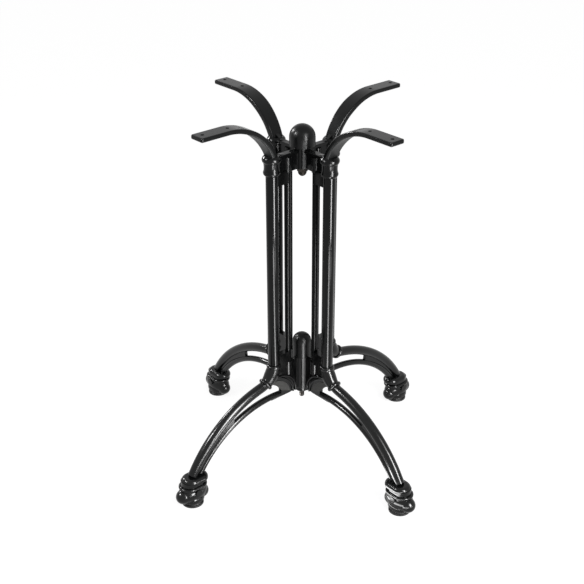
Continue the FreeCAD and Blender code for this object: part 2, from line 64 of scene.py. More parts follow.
class TableBaseFinish(bpy.types.PropertyGroup):
    enamel_colour: bpy.props.FloatVectorProperty(
        name="Enamel colour", description="Colour of the black enamel on the castings",
        subtype="COLOR", size=3, min=0, max=1, default=(0.0045, 0.0048, 0.0050))
    enamel_specular: bpy.props.FloatProperty(
        name="Enamel reflection", description="How strongly the enamel reflects light",
        subtype="FACTOR", min=0, max=1, default=0.14)
    leg_specular: bpy.props.FloatProperty(
        name="Leg reflection", description="How strongly the enamel of the legs reflects light",
        subtype="FACTOR", min=0, max=1, default=0.24)
    enamel_roughness: bpy.props.FloatProperty(
        name="Enamel roughness", description="How soft the gloss of the castings is",
        subtype="FACTOR", min=0.05, max=1, default=0.18)
    tube_roughness: bpy.props.FloatProperty(
        name="Tube roughness", description="How soft the gloss of the drawn tubes is",
        subtype="FACTOR", min=0.05, max=1, default=0.14)
    nylon_colour: bpy.props.FloatVectorProperty(
        name="Nylon colour", description="Colour of the foot pads",
        subtype="COLOR", size=3, min=0, max=1, default=(0.012, 0.012, 0.012))
    fan_roughness: bpy.props.FloatProperty(
        name="Fan roughness", description="How dull the coat of the fan faces is",
        subtype="FACTOR", min=0.05, max=1, default=0.5)
    underside_roughness: bpy.props.FloatProperty(
        name="Underside roughness", description="How dull the underside of the bent arms is",
        subtype="FACTOR", min=0.05, max=1, default=0.45)
    # Paler colour painted on the underside of each bend as its reflection of the bright floor.
    underside_painted_reflection_colour: bpy.props.FloatVectorProperty(
        name="Underside", description="Paler colour painted on the underside of the bent arms as their reflection of the bright floor",
        subtype="COLOR", size=3, min=0, max=1, default=(0.030, 0.031, 0.031))
    nut_colour: bpy.props.FloatVectorProperty(
        name="Cap nut colour", description="Brown black of the cap nut under the upper hub",
        subtype="COLOR", size=3, min=0, max=1, default=(0.012, 0.0105, 0.0092))
    # Paler colour painted on the fan faces of the leg castings as their reflection of the bright
    # floor.
    fan_painted_reflection_colour: bpy.props.FloatVectorProperty(
        name="Fan painted reflection", description="Paler colour painted on the fan faces of the leg castings as their reflection of the bright floor",
        subtype="COLOR", size=3, min=0, max=1, default=(0.049, 0.048, 0.045))
    rod_roughness: bpy.props.FloatProperty(
        name="Rod roughness", description="How soft the gloss of the inner rods is",
        subtype="FACTOR", min=0.05, max=1, default=0.22)
    dome_roughness: bpy.props.FloatProperty(
        name="Dome roughness", description="How soft the gloss of the dome caps is",
        subtype="FACTOR", min=0.05, max=1, default=0.28)
    hub_roughness: bpy.props.FloatProperty(
        name="Hub roughness", description="How soft the gloss of the cast hubs is",
        subtype="FACTOR", min=0.05, max=1, default=0.42)
    arm_reach: bpy.props.FloatProperty(
        name="Arm reach", description="Distance of an arm's tip from the axis",
        unit="LENGTH", min=0.18, max=0.4, default=0.233)
    arm_top: bpy.props.FloatProperty(
        name="Arm top", description="Height of the flat ends that the table top rests on",
        unit="LENGTH", min=0.6, max=0.8, default=0.720)
    arm_width: bpy.props.FloatProperty(
        name="Arm width", description="Width of the flat end of an arm",
        unit="LENGTH", min=0.02, max=0.06, default=0.0314)
    arm_thickness: bpy.props.FloatProperty(
        name="Arm thickness", description="Thickness of the flat end of an arm",
        unit="LENGTH", min=0.004, max=0.02, default=0.008)
    arm_round: bpy.props.FloatProperty(
        name="Arm round", description="Radius of the long edges of an arm",
        unit="LENGTH", min=0.0005, max=0.0035, default=0.0025)
    tip_round: bpy.props.FloatProperty(
        name="Tip round", description="Radius of the upright corners at an arm's tip",
        unit="LENGTH", min=0.0005, max=0.01, default=0.0035)
    bend_steps: bpy.props.IntProperty(
        name="Bend steps", description="Number of steps that the bend of an arm is made in",
        min=8, max=96, default=36)
    underside_lag: bpy.props.FloatProperty(
        name="Underside lag", description="How much further out the underside begins to bend",
        unit="LENGTH", min=0, max=0.01, default=0.0027)
    neck_rise: bpy.props.FloatProperty(
        name="Neck rise", description="Height over which an arm widens from its neck",
        unit="LENGTH", min=0.02, max=0.08, default=0.064)
    neck_width: bpy.props.FloatProperty(
        name="Neck width", description="Width of an arm inside its capital",
        unit="LENGTH", min=0.01, max=0.0314, default=0.025)
    bend_start: bpy.props.FloatProperty(
        name="Bend start", description="Distance from the axis where an arm begins to bend",
        unit="LENGTH", min=0.12, max=0.22, default=0.1733)
    bend_radius: bpy.props.FloatProperty(
        name="Bend radius", description="Radius of the upper side of an arm's bend",
        unit="LENGTH", min=0.05, max=0.2, default=0.1142)
    under_radius: bpy.props.FloatProperty(
        name="Underside radius", description="Radius of the underside of an arm's bend",
        unit="LENGTH", min=0.05, max=0.2, default=0.1038)
    capital_top: bpy.props.FloatProperty(
        name="Capital top", description="Height of the top of a capital",
        unit="LENGTH", min=0.5, max=0.7, default=0.64802)
    bar_sink: bpy.props.FloatProperty(
        name="Bar sink", description="How far the bar reaches down into its capital",
        unit="LENGTH", min=0.002, max=0.02, default=0.01)
    bar_foot_inside: bpy.props.FloatProperty(
        name="Bar foot", description="Distance of a bar's inner side from the axis",
        unit="LENGTH", min=0.05, max=0.1, default=0.0672)
    rib_height: bpy.props.FloatProperty(
        name="Rib height", description="Height of the gusset rib over the capital",
        unit="LENGTH", min=0.005, max=0.03, default=0.017)
    rib_lean: bpy.props.FloatProperty(
        name="Rib lean", description="How far the rib follows the bar outwards over its height",
        unit="LENGTH", min=0, max=0.02, default=0.0084)
    web_thickness: bpy.props.FloatProperty(
        name="Web thickness", description="Thickness of the web and rib of an arm casting",
        unit="LENGTH", min=0.003, max=0.015, default=0.007)
    inner_hole: bpy.props.FloatProperty(
        name="Inner hole", description="Distance of the inner screw hole from the axis",
        unit="LENGTH", min=0.1, max=0.2, default=0.1677)
    outer_hole: bpy.props.FloatProperty(
        name="Outer hole", description="Distance of the outer screw hole from the axis",
        unit="LENGTH", min=0.18, max=0.3, default=0.220)
    hole_diameter: bpy.props.FloatProperty(
        name="Screw hole", description="Diameter of the screw holes in the arms",
        unit="LENGTH", min=0.003, max=0.01, default=0.0065)
    tube_wall: bpy.props.FloatProperty(
        name="Tube wall", description="Wall of the outer tubes",
        unit="LENGTH", min=0.0005, max=0.005, default=0.0015)
    rod_thread: bpy.props.FloatProperty(
        name="Rod thread", description="Thread diameter at the ends of the inner rods",
        unit="LENGTH", min=0.004, max=0.011, default=0.008)
    rod_thread_length: bpy.props.FloatProperty(
        name="Rod thread length", description="Length of the thread at each end of an inner rod",
        unit="LENGTH", min=0.004, max=0.03, default=0.014)
    stud_pitch: bpy.props.FloatProperty(
        name="Stud pitch", description="Distance from one thread to the next on the studs",
        unit="LENGTH", min=0.0008, max=0.003, default=0.0015)
    pad_height: bpy.props.FloatProperty(
        name="Pad height", description="Height of a foot pad under the casting",
        unit="LENGTH", min=0.005, max=0.015, default=0.008)
    pad_rim_height: bpy.props.FloatProperty(
        name="Pad rim height", description="Height of the wide rim of a foot pad",
        unit="LENGTH", min=0.002, max=0.007, default=0.004)
    pad_step: bpy.props.FloatProperty(
        name="Pad step", description="Width of the step over the rim of a foot pad",
        unit="LENGTH", min=0.001, max=0.006, default=0.003)
    pad_plug: bpy.props.FloatProperty(
        name="Pad plug", description="Diameter of the plug that holds a foot pad",
        unit="LENGTH", min=0.006, max=0.02, default=0.012)


class TableBaseStudio(bpy.types.PropertyGroup):
    floor_colour: bpy.props.FloatVectorProperty(
        name="Floor colour", description="Colour of the plain floor",
        subtype="COLOR", size=3, min=0, max=1, default=(0.3, 0.3, 0.3))
    floor_lift: bpy.props.FloatProperty(
        name="Floor lift", description="How much the floor glows where the camera sees it",
        min=0, max=2, default=0.87)
    sky_level: bpy.props.FloatProperty(
        name="Sky level", description="Brightness of the room on surfaces that don't mirror it",
        min=0, max=2, default=0.38)
    key_power: bpy.props.FloatProperty(
        name="Key power", description="Power of the tall soft box right of the camera",
        unit="POWER", min=0, default=24)
    left_power: bpy.props.FloatProperty(
        name="Left power", description="Power of the soft box on the left",
        unit="POWER", min=0, default=10)
    card_azimuth: bpy.props.FloatProperty(
        name="Card azimuth", description="Where the lit card lies, in degrees right of the front",
        min=-180, max=180, default=27)
    card_turn: bpy.props.FloatProperty(
        name="Card turn", description="How many degrees the far end of the card turns to the left",
        min=-45, max=45, default=9)
    card_start: bpy.props.FloatProperty(
        name="Card start", description="Distance of the card's near end from the centre",
        unit="LENGTH", min=0, default=0.18)
    card_end: bpy.props.FloatProperty(
        name="Card end", description="Distance of the card's far end from the centre",
        unit="LENGTH", min=0, default=1.5)
    card_slope: bpy.props.FloatProperty(
        name="Card spread", description="Half width of the card as a share of its distance",
        min=0, max=1, default=0.15)
    card_strength: bpy.props.FloatProperty(
        name="Card strength", description="How brightly the card on the floor is lit",
        min=0, default=26)
    window_strength: bpy.props.FloatProperty(
        name="Window strength", description="Brightness of the tall window that the gloss mirrors",
        min=0, default=60)
    low_strength: bpy.props.FloatProperty(
        name="Low window", description="Brightness of the low pane that the legs mirror",
        min=0, max=200, default=7)
    spot_strength: bpy.props.FloatProperty(
        name="Spot strength", description="Brightness of the two small windows on the left",
        min=0, default=115)


# Helpers


def clear_selection():
    if bpy.context.object and bpy.context.object.mode != "OBJECT":
        bpy.ops.object.mode_set(mode="OBJECT")
    bpy.ops.object.select_all(action="DESELECT")


def edit(piece, pick="NONE"):
    """Open one piece in edit mode with everything or nothing selected."""
    clear_selection()
    piece.select_set(True)
    bpy.context.view_layer.objects.active = piece
    bpy.ops.object.mode_set(mode="EDIT")
    bpy.ops.mesh.select_mode(type="FACE")
    bpy.ops.mesh.select_all(action="SELECT" if pick == "ALL" else "DESELECT")


def pick_faces(piece, test):
    """Select the faces whose centre and normal pass the test."""
    skin = bmesh.from_edit_mesh(piece.data)
    bpy.ops.mesh.select_all(action="DESELECT")
    for face in skin.faces:
        if test(face.calc_center_median(), face.normal):
            face.select_set(True)
    bmesh.update_edit_mesh(piece.data)


def pick_edges(piece, test):
    """Select the edges whose middle and direction pass the test."""
    bpy.ops.mesh.select_mode(type="EDGE")
    skin = bmesh.from_edit_mesh(piece.data)
    bpy.ops.mesh.select_all(action="DESELECT")
    for line in skin.edges:
        ends = [v.co for v in line.verts]
        if test((ends[0] + ends[1]) / 2, (ends[1] - ends[0]).normalized(), line):
            line.select_set(True)
    bmesh.update_edit_mesh(piece.data)


def close_edit():
    bpy.ops.object.mode_set(mode="OBJECT")


def raise_faces(height):
    """Extrude the selected faces straight up, or down when the height is negative."""
    bpy.ops.mesh.extrude_region_move(TRANSFORM_OT_translate={"value": (0, 0, height)})


def shade(piece, degrees=35):
    clear_selection()
    piece.select_set(True)
    bpy.context.view_layer.objects.active = piece
    bpy.ops.object.shade_smooth_by_angle(angle=math.radians(degrees))


def even_normals(piece):
    """Let the broad faces lead the shading, so that rounds flow into flats."""
    clear_selection()
    piece.select_set(True)
    bpy.context.view_layer.objects.active = piece
    bpy.ops.object.modifier_add(type="WEIGHTED_NORMAL")
    weigh = piece.modifiers[-1]
    weigh.mode = "FACE_AREA_WITH_ANGLE"
    weigh.keep_sharp = True
    bpy.ops.object.modifier_apply(modifier=weigh.name)


def new_round(name, radius, low, high, sides):
    """A round bar on the axis to start a piece from."""
    clear_selection()
    bpy.ops.mesh.primitive_cylinder_add(vertices=sides, radius=radius, depth=high - low,
                                        location=(0, 0, (low + high) / 2))
    piece = bpy.context.object
    piece.name = name
    bpy.ops.object.transform_apply(location=True, rotation=True, scale=True)
    return piece


def fit(piece, material, slot, *nodes):
    """Give a finished piece its material and let it stand for its nodes."""
    piece.data.materials.clear()
    piece.data.materials.append(material)
    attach(piece, "root")
    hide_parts(*nodes)


def welded_skin(name, node, turn=0.0):
    """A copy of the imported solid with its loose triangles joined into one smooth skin."""
    piece = bpy.data.objects.new(name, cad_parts[node].data.copy())
    bpy.context.collection.objects.link(piece)
    clear_selection()
    piece.select_set(True)
    bpy.context.view_layer.objects.active = piece
    bpy.ops.mesh.customdata_custom_splitnormals_clear()
    piece.data.transform(Matrix.Rotation(turn, 4, "Z"))
    edit(piece, "ALL")
    bpy.ops.mesh.remove_doubles(threshold=0.000002)
    bpy.ops.mesh.select_all(action="SELECT")
    bpy.ops.mesh.dissolve_degenerate(threshold=0.00001)
    close_edit()
    shade(piece, 32)
    even_normals(piece)
    return piece


def turned_skin(name, node):
    """The skin of a front left casting, turned so that it points along +X."""
    return welded_skin(name, node, -math.radians(ROWS["front_left"]))


def copy_round(piece, stem):
    """Copies of one piece for the four rows, each with its own mesh."""
    copies = {}
    for row, angle in ROWS.items():
        mesh = piece.data.copy()
        mesh.transform(Matrix.Rotation(math.radians(angle), 4, "Z"))
        copy = bpy.data.objects.new(stem + "_" + row, mesh)
        bpy.context.collection.objects.link(copy)
        copies[row] = copy
    bpy.data.objects.remove(piece)
    return copies


def node_group(name, sockets_in, sockets_out):
    group = bpy.data.node_groups.new(name, "ShaderNodeTree")
    for label, kind, value in sockets_in:
        socket = group.interface.new_socket(name=label, in_out="INPUT", socket_type=kind)
        if value is not None:
            socket.default_value = value
    for label, kind in sockets_out:
        group.interface.new_socket(name=label, in_out="OUTPUT", socket_type=kind)
    start = group.nodes.new("NodeGroupInput")
    end = group.nodes.new("NodeGroupOutput")
    return group, start, end


def noise(tree, vector, scale, detail, roughness=0.5):
    node = tree.nodes.new("ShaderNodeTexNoise")
    node.inputs["Scale"].default_value = scale
    node.inputs["Detail"].default_value = detail
    node.inputs["Roughness"].default_value = roughness
    tree.links.new(vector, node.inputs["Vector"])
    return node.outputs["Fac"]


def spread(tree, value, low, high, new_low, new_high):
    node = tree.nodes.new("ShaderNodeMapRange")
    node.inputs["From Min"].default_value = low
    node.inputs["From Max"].default_value = high
    node.inputs["To Min"].default_value = new_low
    node.inputs["To Max"].default_value = new_high
    if isinstance(new_low, bpy.types.NodeSocket):
        tree.links.new(new_low, node.inputs["To Min"])
    tree.links.new(value, node.inputs["Value"])
    return node.outputs["Result"]


def coated_skin():
    """Skin of a sprayed coat: faint mottling, varied gloss and a fine orange peel."""
    if "Sprayed Skin" in bpy.data.node_groups:
        return bpy.data.node_groups["Sprayed Skin"]
    group, start, end = node_group(
        "Sprayed Skin",
        [("Colour", "NodeSocketColor", None), ("Gloss", "NodeSocketFloat", 0.3),
         ("Gloss Change", "NodeSocketFloat", 0.05), ("Peel Scale", "NodeSocketFloat", 900.0),
         ("Casting Scale", "NodeSocketFloat", 90.0)],
        [("Colour", "NodeSocketColor"), ("Roughness", "NodeSocketFloat"),
         ("Height", "NodeSocketFloat")])
    place = group.nodes.new("ShaderNodeTexCoord")
    objects = place.outputs["Object"]
    mottle = noise(group, objects, 14, 4)
    smear = noise(group, objects, 60, 3)
    peel = group.nodes.new("ShaderNodeTexNoise")
    peel.inputs["Detail"].default_value = 2
    group.links.new(objects, peel.inputs["Vector"])
    group.links.new(start.outputs["Peel Scale"], peel.inputs["Scale"])
    cast = group.nodes.new("ShaderNodeTexNoise")
    cast.inputs["Detail"].default_value = 3
    group.links.new(objects, cast.inputs["Vector"])
    group.links.new(start.outputs["Casting Scale"], cast.inputs["Scale"])

    shade = group.nodes.new("ShaderNodeHueSaturation")
    group.links.new(start.outputs["Colour"], shade.inputs["Color"])
    group.links.new(spread(group, mottle, 0.3, 0.7, 0.82, 1.18), shade.inputs["Value"])
    group.links.new(shade.outputs["Color"], end.inputs["Colour"])

    change = group.nodes.new("ShaderNodeMath")
    change.operation = "MULTIPLY"
    group.links.new(spread(group, smear, 0.3, 0.7, -1.0, 1.0), change.inputs[0])
    group.links.new(start.outputs["Gloss Change"], change.inputs[1])
    total = group.nodes.new("ShaderNodeMath")
    total.operation = "ADD"
    group.links.new(start.outputs["Gloss"], total.inputs[0])
    group.links.new(change.outputs["Value"], total.inputs[1])
    group.links.new(total.outputs["Value"], end.inputs["Roughness"])

    height = group.nodes.new("ShaderNodeMath")
    height.operation = "MULTIPLY_ADD"
    height.inputs[1].default_value = 3.0
    group.links.new(cast.outputs["Fac"], height.inputs[0])
    group.links.new(peel.outputs["Fac"], height.inputs[2])
    group.links.new(height.outputs["Value"], end.inputs["Height"])
    return group


def dull_and_painted_reflection_mask():
    """Where a dull area with a painted reflection lies, a disc in distance and height over a slope,
    and the hub.
    """
    if "Dull Area And Painted Reflection" in bpy.data.node_groups:
        return bpy.data.node_groups["Dull Area And Painted Reflection"]
    group, start, end = node_group(
        "Dull Area And Painted Reflection",
        [("Centre Distance", "NodeSocketFloat", 0.077), ("Centre Height", "NodeSocketFloat", 0.141),
         ("Radius", "NodeSocketFloat", 0.0445), ("Reach", "NodeSocketFloat", 0.079),
         ("Slope", "NodeSocketFloat", 0.4), ("Lowest", "NodeSocketFloat", 0.1355)],
        [("Mask", "NodeSocketFloat"), ("Hub", "NodeSocketFloat")])
    place = group.nodes.new("ShaderNodeTexCoord")
    split = group.nodes.new("ShaderNodeSeparateXYZ")
    group.links.new(place.outputs["Object"], split.inputs["Vector"])

    def maths(operation, first, second):
        node = group.nodes.new("ShaderNodeMath")
        node.operation = operation
        for socket, value in zip(node.inputs, (first, second)):
            if isinstance(value, bpy.types.NodeSocket):
                group.links.new(value, socket)
            else:
                socket.default_value = value
        return node.outputs["Value"]

    x, y, z = (split.outputs[axis] for axis in "XYZ")
    away = maths("SQRT", maths("ADD", maths("MULTIPLY", x, x), maths("MULTIPLY", y, y)), 0.0)
    side = maths("SUBTRACT", away, start.outputs["Centre Distance"])
    rise = maths("SUBTRACT", z, start.outputs["Centre Height"])
    span = maths("SQRT", maths("ADD", maths("MULTIPLY", side, side), maths("MULTIPLY", rise, rise)),
                 0.0)
    inside = maths("SUBTRACT", start.outputs["Radius"], span)
    disc = spread(group, inside, -0.0004, 0.0012, 0.0, 1.0)
    web = spread(group, maths("SUBTRACT", start.outputs["Reach"], away), 0.0, 0.0025, 0.0, 1.0)
    level = maths("SUBTRACT", z, maths("MULTIPLY", away, start.outputs["Slope"]))
    over_rod = spread(group, maths("SUBTRACT", level, start.outputs["Lowest"]),
                      0.0, 0.0013, 0.0, 1.0)
    face = maths("MULTIPLY", maths("MULTIPLY", disc, web), over_rod)
    group.links.new(face, end.inputs["Mask"])
    group.links.new(spread(group, away, 0.0165, 0.0155, 0.0, 1.0), end.inputs["Hub"])
    return group


def dull_and_painted_reflection_areas(material, colour, roughness, hub_roughness, **area):
    """Give one area of a casting a paler colour painted as its reflection of the bright floor and a
    duller gloss, and the hub its softer gloss.
    """
    tree = material.node_tree
    shader = tree.nodes["Principled BSDF"]
    mask = tree.nodes.new("ShaderNodeGroup")
    mask.node_tree = dull_and_painted_reflection_mask()
    for name, value in area.items():
        mask.inputs[name].default_value = value
    # Mix the paler colour, painted as a reflection of the bright floor, into the masked area.
    painted_reflection_mix = tree.nodes.new("ShaderNodeMix")
    painted_reflection_mix.data_type = "RGBA"
    old_colour = shader.inputs["Base Color"].links[0].from_socket
    tree.links.new(mask.outputs["Mask"], painted_reflection_mix.inputs["Factor"])
    tree.links.new(old_colour, painted_reflection_mix.inputs[6])
    painted_reflection_mix.inputs[7].default_value = (*colour, 1)
    tree.links.new(painted_reflection_mix.outputs[2], shader.inputs["Base Color"])
    rough = tree.nodes.new("ShaderNodeMix")
    old_rough = shader.inputs["Roughness"].links[0].from_socket
    tree.links.new(mask.outputs["Mask"], rough.inputs["Factor"])
    tree.links.new(old_rough, rough.inputs[2])
    rough.inputs[3].default_value = roughness
    hub = tree.nodes.new("ShaderNodeMix")
    tree.links.new(mask.outputs["Hub"], hub.inputs["Factor"])
    tree.links.new(rough.outputs[0], hub.inputs[2])
    hub.inputs[3].default_value = hub_roughness
    tree.links.new(hub.outputs[0], shader.inputs["Roughness"])


def finish_material(name, colour, roughness, specular, metallic=0.0, change=0.04,
                    peel=900.0, casting=90.0, bump=0.1, depth=0.0002):
    """A sprayed, moulded or metal finish that uses the shared skin."""
    material = bpy.data.materials.new(name)
    material.use_nodes = True
    tree = material.node_tree
    shader = tree.nodes["Principled BSDF"]
    skin = tree.nodes.new("ShaderNodeGroup")
    skin.node_tree = coated_skin()
    skin.inputs["Colour"].default_value = (*colour, 1)
    skin.inputs["Gloss"].default_value = roughness
    skin.inputs["Gloss Change"].default_value = change
    skin.inputs["Peel Scale"].default_value = peel
    skin.inputs["Casting Scale"].default_value = casting
    tree.links.new(skin.outputs["Colour"], shader.inputs["Base Color"])
    tree.links.new(skin.outputs["Roughness"], shader.inputs["Roughness"])
    dent = tree.nodes.new("ShaderNodeBump")
    dent.inputs["Strength"].default_value = bump
    dent.inputs["Distance"].default_value = depth
    tree.links.new(skin.outputs["Height"], dent.inputs["Height"])
    tree.links.new(dent.outputs["Normal"], shader.inputs["Normal"])
    shader.inputs["Metallic"].default_value = metallic
    shader.inputs["Specular IOR Level"].default_value = specular
    material.diffuse_color = (*colour, 1)
    return material


def cast_enamel(name, look, roughness, specular):
    """Enamel over a casting, with a trace of the cast surface left in it."""
    return finish_material(name, look.enamel_colour, roughness, specular,
                           change=0.04, peel=650, casting=75, bump=0.012)


def wear(material, *nodes):
    """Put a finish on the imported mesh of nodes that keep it."""
    for name in nodes:
        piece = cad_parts[name]
        piece.data.materials.clear()
        piece.data.materials.append(material)


# Castings, tubes, fittings and pads


class TABLEBASE_OT_castings(bpy.types.Operator):
    """Smooth the skins of the leg castings and dome caps and coat them in enamel"""
    bl_idname = "table_base.castings"
    bl_label = "Legs and Domes"
    bl_options = {"REGISTER", "UNDO"}

    def execute(self, context):
        look = context.scene.table_base_finish
        coat = cast_enamel("Leg enamel with painted reflection", look, look.enamel_roughness, look.leg_specular)
        # The fan faces get a paler colour painted as their reflection of the bright floor.
        dull_and_painted_reflection_areas(coat, look.fan_painted_reflection_colour, look.fan_roughness, look.hub_roughness)
        leg = turned_skin("Leg", "leg_casting_front_left")
        for row, piece in copy_round(leg, "Leg").items():
            fit(piece, coat, "casting_enamel", "leg_casting_" + row)
        dome_coat = cast_enamel("Dome enamel", look, look.dome_roughness, look.enamel_specular)
        for name, node in (("Upper_dome", "upper_dome_cap"), ("Lower_dome", "lower_dome_cap")):
            fit(welded_skin(name, node), dome_coat, "casting_enamel", node)
        return {"FINISHED"}


class TABLEBASE_OT_arms(bpy.types.Operator):
    """Bend the arm bars with their rounded edges and screw holes and set them on their capitals"""
    bl_idname = "table_base.arms"
    bl_label = "Arms"
    bl_options = {"REGISTER", "UNDO"}

    def execute(self, context):
        look = context.scene.table_base_finish
        coat = cast_enamel("Arm enamel with painted reflection", look, look.enamel_roughness, look.enamel_specular)
        # The underside of each bend gets a paler colour painted as its reflection of the bright
        # floor.
        dull_and_painted_reflection_areas(coat, look.underside_painted_reflection_colour, look.underside_roughness, look.hub_roughness,
                   **{"Centre Distance": look.bend_start,
                      "Centre Height": look.arm_top - look.bend_radius,
                      "Radius": look.bend_radius - look.arm_thickness + 0.0005,
                      "Reach": look.arm_reach, "Slope": 0.0,
                      "Lowest": look.capital_top - 0.0004})
        body = turned_skin("Arm", "arm_casting_front_left")
        rib = self.rib(look, body)
        edit(body, "ALL")
        bpy.ops.mesh.bisect(plane_co=(0, 0, look.capital_top), plane_no=(0, 0, 1),
                            clear_outer=True, use_fill=True)
        close_edit()
        bar = self.bar(look)
        clear_selection()
        for part in (rib, bar, body):
            part.select_set(True)
        bpy.context.view_layer.objects.active = body
        bpy.ops.object.join()
        bpy.ops.mesh.customdata_custom_splitnormals_clear()
        edit(body, "ALL")
        bpy.ops.mesh.normals_make_consistent(inside=False)
        close_edit()
        shade(body, 28)
        even_normals(body)
        for row, piece in copy_round(body, "Arm").items():
            fit(piece, coat, "casting_enamel", "arm_casting_" + row)
        return {"FINISHED"}

    def rib(self, look, body):
        """The top of the gusset, which leans on the bar over the capital."""
        rib = bpy.data.objects.new("Gusset_rib", body.data.copy())
        bpy.context.collection.objects.link(rib)
        half = look.web_thickness / 2
        lean = Vector((look.rib_height, 0, -look.rib_lean)).normalized()
        cuts = (((0, 0, look.capital_top - 0.0005), (0, 0, -1)),
                ((0, half - 0.00002, 0), (0, 1, 0)),
                ((0, -half + 0.00002, 0), (0, -1, 0)),
                ((look.bar_foot_inside + 0.0006, 0, look.capital_top), lean))
        edit(rib, "ALL")
        for place, way in cuts:
            bpy.ops.mesh.select_all(action="SELECT")
            bpy.ops.mesh.bisect(plane_co=place, plane_no=way, clear_outer=True, use_fill=True)
        close_edit()
        return rib

    def bar(self, look):
        """A flat bar that is bent down to the capital, narrowed and thickened on the way."""
        centre = Vector((look.bend_start, 0, look.arm_top - look.bend_radius))
        sweep = math.acos((look.capital_top - look.bar_sink - centre.z) / look.bend_radius)
        clear_selection()
        bpy.ops.mesh.primitive_cube_add(size=1)
        bar = bpy.context.object
        bar.name = "Arm_bar"
        bar.scale = (look.arm_reach - look.bend_start, look.arm_width, look.arm_thickness)
        bar.location = ((look.arm_reach + look.bend_start) / 2, 0,
                        look.arm_top - look.arm_thickness / 2)
        bpy.ops.object.transform_apply(location=True, rotation=True, scale=True)
        edit(bar)
        pick_faces(bar, lambda middle, normal: normal.x < -0.9)
        steps = look.bend_steps
        bpy.ops.mesh.spin(steps=steps, angle=sweep, center=centre, axis=(0, 1, 0))
        bpy.ops.mesh.select_mode(type="VERT")
        for step in range(1, steps + 1):
            self.shape_ring(bar, look, centre, sweep * step / steps)
        pick_edges(bar, lambda middle, way, line: middle.x > look.arm_reach - 0.0001
                   and abs(way.z) > 0.9)
        bpy.ops.mesh.bevel(offset=look.tip_round, segments=6, affect="EDGES")
        pick_edges(bar, lambda middle, way, line: line.calc_face_angle(0) > 0.7
                   and middle.z > look.capital_top - look.bar_sink + 0.0002)
        bpy.ops.mesh.bevel(offset=look.arm_round, segments=5, affect="EDGES")
        close_edit()
        for out in (look.inner_hole, look.outer_hole):
            self.drill(bar, look, out)
        shade(bar, 28)
        even_normals(bar)
        return bar

    def shape_ring(self, bar, look, centre, turn):
        """Thicken one ring of the bend on its underside and set its width."""
        way = Vector((-math.sin(turn), 0, math.cos(turn)))
        gap = centre - Vector((look.bend_start + look.underside_lag, 0,
                               look.arm_top - look.arm_thickness - look.under_radius))
        along = gap.dot(way)
        under = -along + math.sqrt(along ** 2 - gap.length_squared + look.under_radius ** 2)
        extra = max(0.0, look.bend_radius - look.arm_thickness - under)
        skin = bmesh.from_edit_mesh(bar.data)
        bpy.ops.mesh.select_all(action="DESELECT")
        for corner in skin.verts:
            radial = Vector((corner.co.x, 0, corner.co.z)) - centre
            if radial.normalized().dot(way) > 0.99999 and radial.length < look.bend_radius - 0.004:
                corner.select_set(True)
        bmesh.update_edit_mesh(bar.data)
        bpy.ops.transform.translate(value=way * -extra)
        bpy.ops.mesh.select_all(action="DESELECT")
        level = centre.z + look.bend_radius * math.cos(turn)
        share = min(1.0, max(0.0, (level - look.capital_top + look.bar_sink) / look.neck_rise))
        swell = 0.4 * share + 0.6 * share ** 2
        width = look.neck_width + (look.arm_width - look.neck_width) * swell
        for corner in skin.verts:
            radial = Vector((corner.co.x, 0, corner.co.z)) - centre
            if radial.normalized().dot(way) > 0.99999 and radial.length < look.bend_radius + 0.001:
                corner.select_set(True)
        bmesh.update_edit_mesh(bar.data)
        bpy.ops.transform.resize(value=(1, width / look.arm_width, 1))

    def drill(self, bar, look, out):
        """Cut one screw hole through the flat end of the bar."""
        drill = new_round("Drill", look.hole_diameter / 2, look.arm_top - 0.03,
                          look.arm_top + 0.01, 48)
        drill.data.transform(Matrix.Translation((out, 0, 0)))
        clear_selection()
        bar.select_set(True)
        bpy.context.view_layer.objects.active = bar
        bpy.ops.object.modifier_add(type="BOOLEAN")
        cut = bar.modifiers[-1]
        cut.object = drill
        cut.operation = "DIFFERENCE"
        cut.solver = "EXACT"
        bpy.ops.object.modifier_apply(modifier=cut.name)
        bpy.data.objects.remove(drill)


